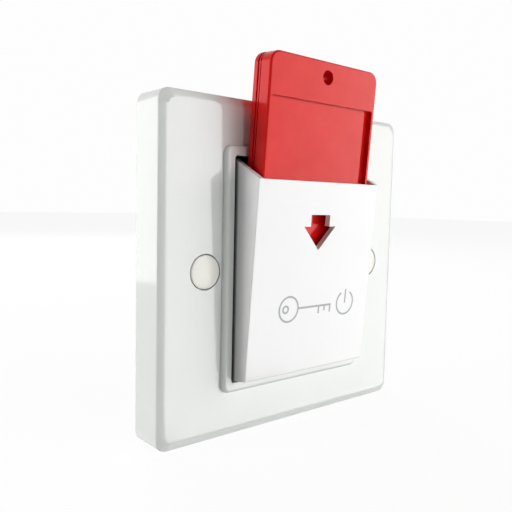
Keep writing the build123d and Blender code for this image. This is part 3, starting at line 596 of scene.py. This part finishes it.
@dataclass
class Pictogram:
    """The print on the pocket's front: a key and a power sign in thin grey lines.

    Places are across and up the pocket's front. The teeth are given by their place back from the
    shaft's tip and their drop, and the sign's gap is in degrees.
    """

    stroke: float = 0.52
    film: float = 0.02
    surface: float = 1.8
    step_angle: float = 6.0
    fewest_steps: int = 8
    key_centre: tuple[float, float] = (-9.0, -10.0)
    bow_radius: float = 3.3
    eye_radius: float = 0.9
    shaft_length: float = 12.4
    teeth: tuple[tuple[float, float], ...] = ((0.0, 2.1), (2.2, 1.5), (4.4, 2.1))
    sign_centre: tuple[float, float] = (12.4, -10.0)
    sign_radius: float = 3.3
    sign_gap: float = 62.0
    bar_length: float = 3.9
    bar_rise: float = 0.5

    def ring(self, bm: bmesh.types.BMesh, centre: tuple[float, float], radius: float,
             start: float = 0.0, sweep: float = FULL_TURN) -> None:
        """Adds a round line.

        Args:
            bm: the mesh it goes into.
            centre: its centre across and up.
            radius: the radius of its middle line.
            start: the angle where it starts, in degrees from +X.
            sweep: how far it goes round, in degrees.
        """
        half = self.stroke / 2
        inner = bm.verts.new((radius - half, 0, 0))
        outer = bm.verts.new((radius + half, 0, 0))
        edge = bm.edges.new((inner, outer))
        turn = Matrix.Rotation(math.radians(start), 4, "Z")
        bmesh.ops.transform(bm, matrix=Matrix.Translation((*centre, 0)) @ turn,
                            verts=[inner, outer])
        bmesh.ops.spin(bm, geom=[inner, outer, edge], cent=(*centre, 0), axis=(0, 0, 1),
                       angle=math.radians(sweep), use_merge=sweep >= FULL_TURN,
                       steps=max(self.fewest_steps, int(sweep / self.step_angle)))

    def line(self, bm: bmesh.types.BMesh, start: tuple[float, float],
             end: tuple[float, float]) -> None:
        """Adds a straight line.

        Args:
            bm: the mesh it goes into.
            start: where it starts, across and up.
            end: where it ends.
        """
        run = Vector(end) - Vector(start)
        middle = (Vector(end) + Vector(start)) / 2
        grid = bmesh.ops.create_grid(bm, x_segments=1, y_segments=1, size=0.5)
        shape = (Matrix.Translation((*middle, 0))
                 @ Matrix.Rotation(math.atan2(run.y, run.x), 4, "Z")
                 @ Matrix.Diagonal((run.length, self.stroke, 1, 1)))
        bmesh.ops.transform(bm, matrix=shape, verts=grid["verts"])

    def draw_key(self, bm: bmesh.types.BMesh) -> None:
        """Draws the key's bow, eye, shaft and teeth.

        Args:
            bm: the mesh that they go into.
        """
        key_x, key_y = self.key_centre
        self.ring(bm, self.key_centre, self.bow_radius)
        self.ring(bm, (key_x - self.bow_radius / 3, key_y), self.eye_radius)
        near = key_x + self.bow_radius
        far = near + self.shaft_length
        self.line(bm, (near, key_y), (far, key_y))
        for back, drop in self.teeth:
            tooth_x = far - back - self.stroke / 2
            self.line(bm, (tooth_x, key_y), (tooth_x, key_y - drop))

    def draw_sign(self, bm: bmesh.types.BMesh) -> None:
        """Draws the power sign's open ring and its bar.

        Args:
            bm: the mesh that they go into.
        """
        sign_x, sign_y = self.sign_centre
        self.ring(bm, self.sign_centre, self.sign_radius, 90 + self.sign_gap / 2,
                  FULL_TURN - self.sign_gap)
        top = sign_y + self.sign_radius + self.bar_rise
        self.line(bm, (sign_x, top), (sign_x, top - self.bar_length))

    def build(self) -> bpy.types.Object:
        """Draws both signs and lays them on the pocket's front as a thin film.

        Returns:
            The new piece.
        """
        bm = bmesh.new()
        self.draw_key(bm)
        self.draw_sign(bm)
        film = bmesh.ops.extrude_face_region(bm, geom=list(bm.faces))
        raised = [part for part in film["geom"] if isinstance(part, bmesh.types.BMVert)]
        bmesh.ops.translate(bm, verts=raised, vec=(0, 0, self.film))
        bmesh.ops.recalc_face_normals(bm, faces=bm.faces)
        lay = TO_ROW @ SLOT @ Matrix.Translation((0, 0, self.surface))
        bmesh.ops.transform(bm, matrix=lay, verts=bm.verts)
        piece = settle(bm, "pocket_pictogram", Body.SWITCH)
        WARDROBE.dress(piece, INK)
        return piece


@dataclass
class Enclosure:
    """The white mouldings that show from the room, and the caps."""

    copies: list[EasedCopy] = field(default_factory=lambda: [
        EasedCopy("face_plate", Body.SWITCH, Slot.WHITE, 0.15),
        EasedCopy("module_frame", Body.SWITCH, Slot.WHITE, 0.2),
        EasedCopy("key_pocket", Body.SWITCH, Slot.WHITE, 0.14),
        EasedCopy("screw_caps", Body.SWITCH, Slot.CAP, 0.2),
    ])

    def build(self) -> list[bpy.types.Object]:
        """Builds the mouldings and the print on the pocket.

        Returns:
            The new pieces.
        """
        pieces = [copy.build() for copy in self.copies]
        for piece in pieces:
            if piece.name.startswith("key_pocket"):
                WARDROBE.dress(piece, POCKET_FINISH)
        return pieces + [Pictogram().build()]


@dataclass
class KeyTag:
    """The two red shells of the tag."""

    copies: list[EasedCopy] = field(default_factory=lambda: [
        EasedCopy("tag_front", Body.TAG, Slot.TAG, 0.1),
        EasedCopy("tag_back", Body.TAG, Slot.TAG, 0.1),
    ])

    def build(self) -> list[bpy.types.Object]:
        """Builds both shells."""
        return [copy.build() for copy in self.copies]


@dataclass
class Works:
    """The mechanism's box and what it holds."""

    copies: list[EasedCopy] = field(default_factory=lambda: [
        EasedCopy("works_front", Body.SWITCH, Slot.BASE, 0.15, 2),
        EasedCopy("switch_base", Body.SWITCH, Slot.BASE, 0.15, 2),
        EasedCopy("rear_cover", Body.SWITCH, Slot.COVER, 0.15, 2),
        EasedCopy("trip_lever", Body.LEVER, Slot.LEVER, 0.12, 2),
        EasedCopy("fixing_screws", Body.SWITCH, Slot.SCREW, 0.08, 2),
        EasedCopy("housing_screws", Body.SWITCH, Slot.SCREW, 0.12, 2),
        EasedCopy("cover_screws", Body.SWITCH, Slot.SCREW, 0.12, 2),
        EasedCopy("terminal_screws", Body.SWITCH, Slot.SCREW, 0.1, 2),
    ])

    def build(self) -> list[bpy.types.Object]:
        """Builds the eased pieces and dresses the nodes that are kept.

        Returns:
            The new pieces and the kept nodes.
        """
        pieces = [copy.build() for copy in self.copies]
        slots = {part["node"]: Slot(part["material_slot"])
                 for part in frame["record"]["subparts"]}
        for name, node in frame["nodes"].items():
            if not node.hide_render:
                WARDROBE.dress(node, FINISHES[slots[name]])
                pieces.append(node)
        return pieces


@dataclass(frozen=True)
class Softbox:
    """A rectangular soft lamp that faces the plate's middle.

    Azimuth is in degrees from straight in front of the plate towards +X, elevation in degrees
    above the horizon, distance and size in metres, and power in watts. A mirrored lamp shows in
    glossy surfaces, and any other leaves their reflections to the white world.
    """

    name: str
    azimuth: float
    elevation: float
    distance: float
    size: tuple[float, float]
    power: float
    mirrored: bool = False

    def build(self) -> None:
        """Hangs the lamp."""
        lamp = bpy.data.lights.new(self.name, "AREA")
        lamp.shape = "RECTANGLE"
        lamp.size, lamp.size_y = self.size
        lamp.energy = self.power
        holder = bpy.data.objects.new(self.name, lamp)
        side, rise = math.radians(self.azimuth), math.radians(self.elevation)
        way = Vector((math.sin(side) * math.cos(rise), -math.cos(side) * math.cos(rise),
                      math.sin(rise)))
        holder.location = way * self.distance
        holder.rotation_euler = way.to_track_quat("Z", "Y").to_euler()
        holder.visible_glossy = self.mirrored
        bpy.context.scene.collection.objects.link(holder)


@dataclass
class Studio:
    """Pale floor, soft lamps, world and camera.

    The floor's and the eye's places are in millimetres of the row's frame, angles in degrees, and
    clip distances in metres. Levels are strengths of emission, where 1 is white.
    """

    softboxes: tuple[Softbox, ...] = (
        Softbox("window_softbox", 36.0, 2.0, 0.9, (0.92, 0.9), 10.3, mirrored=True),
        Softbox("front_softbox", -4.0, 0.0, 0.9, (0.22, 0.9), 1.8),
        Softbox("right_softbox", 58.0, 0.0, 0.9, (0.22, 0.9), 0.2),
        Softbox("side_softbox", -110.0, 0.0, 0.9, (0.30, 0.9), 7.4),
        Softbox("back_softbox", -127.0, 9.0, 0.9, (0.80, 0.55), 2.85, mirrored=True),
        Softbox("rear_softbox", 165.0, 35.0, 0.9, (0.60, 0.60), 4.5),
    )
    floor_height: float = -43.2
    floor_half_width: float = 3000.0
    floor_grey: float = 0.80
    floor_glow_share: float = 0.9
    eye: tuple[float, float, float] = (-113.652, -129.392, 16.5)
    yaw: float = 40.037
    pitch: float = 4.857
    roll: float = 1.224
    lens: float = 41.97
    sensor_width: float = 36.0
    clip_distances: tuple[float, float] = (0.01, 20)
    white_level: float = 0.985
    floor_level: float = 1.04
    world_level: float = 0.01

    def make_floor(self) -> None:
        """A wide pale floor that keeps part of the object's shadow."""
        bm = bmesh.new()
        bmesh.ops.create_grid(bm, x_segments=2, y_segments=2, size=self.floor_half_width * MM)
        bmesh.ops.translate(bm, verts=bm.verts, vec=(0, 0, self.floor_height * MM))
        mesh = bpy.data.meshes.new("studio_floor")
        bm.to_mesh(mesh)
        bm.free()
        floor = bpy.data.objects.new("studio_floor", mesh)
        bpy.context.scene.collection.objects.link(floor)
        floor.visible_glossy = False
        sheet = MaterialSheet("pale_floor")
        grey = (self.floor_grey, self.floor_grey, self.floor_grey, 1)
        diffuse = sheet.add("BsdfDiffuse", {"Color": grey})
        glow = sheet.add("Emission", {"Color": (1, 1, 1, 1), "Strength": self.floor_level})
        share = sheet.add("Math", {1: self.floor_glow_share}, operation="MULTIPLY")
        sheet.join(sheet.backdrop_share(), share.inputs[0])
        mix = sheet.add("MixShader")
        sheet.join(share.outputs[0], mix.inputs["Fac"])
        sheet.join(diffuse.outputs["BSDF"], mix.inputs[1])
        sheet.join(glow.outputs["Emission"], mix.inputs[2])
        sheet.show(mix.outputs["Shader"])
        mesh.materials.append(sheet.material)

    def make_world(self) -> None:
        """White to the camera and to reflections, and nearly dark for the rest."""
        world = bpy.data.worlds.new("studio_world")
        bpy.context.scene.world = world
        sheet = NodeSheet(world, "OutputWorld")
        mix = sheet.add("MixShader")
        sheet.join(sheet.backdrop_share(), mix.inputs["Fac"])
        for socket, level in ((1, self.world_level), (2, self.white_level)):
            light = sheet.add("Background", {"Color": (1, 1, 1, 1), "Strength": level})
            sheet.join(light.outputs["Background"], mix.inputs[socket])
        sheet.show(mix.outputs["Shader"])

    def make_camera(self) -> None:
        """The photograph's viewpoint, fitted to its measured corners."""
        data = bpy.data.cameras.new("photo_camera")
        data.sensor_width = self.sensor_width
        data.lens = self.lens
        data.clip_start, data.clip_end = self.clip_distances
        yaw, pitch, roll = (math.radians(a) for a in (self.yaw, self.pitch, self.roll))
        ahead = Vector((math.sin(yaw) * math.cos(pitch), math.cos(yaw) * math.cos(pitch),
                        -math.sin(pitch)))
        right = Vector((math.cos(yaw), -math.sin(yaw), 0))
        up = right.cross(ahead)
        across = right * math.cos(roll) + up * math.sin(roll)
        upright = up * math.cos(roll) - right * math.sin(roll)
        turn = Matrix((across, upright, -ahead)).transposed().to_4x4()
        camera = bpy.data.objects.new("photo_camera", data)
        camera.matrix_world = Matrix.Translation(Vector(self.eye) * MM) @ turn
        bpy.context.scene.collection.objects.link(camera)
        bpy.context.scene.camera = camera

    def build(self) -> None:
        """Sets up the whole studio."""
        self.make_floor()
        self.make_world()
        for softbox in self.softboxes:
            softbox.build()
        self.make_camera()
        bpy.context.scene.view_settings.view_transform = "Standard"


def main() -> None:
    """Builds the switch and its studio."""
    for assembly in (Enclosure(), KeyTag(), Works()):
        for piece in assembly.build():
            LOG.info("%s: %s on %s", type(assembly).__name__, piece.name, piece["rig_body"])
    Studio().build()
    bpy.context.view_layer.update()


if __name__ == "__main__":
    logging.basicConfig(level=logging.INFO)
    main()
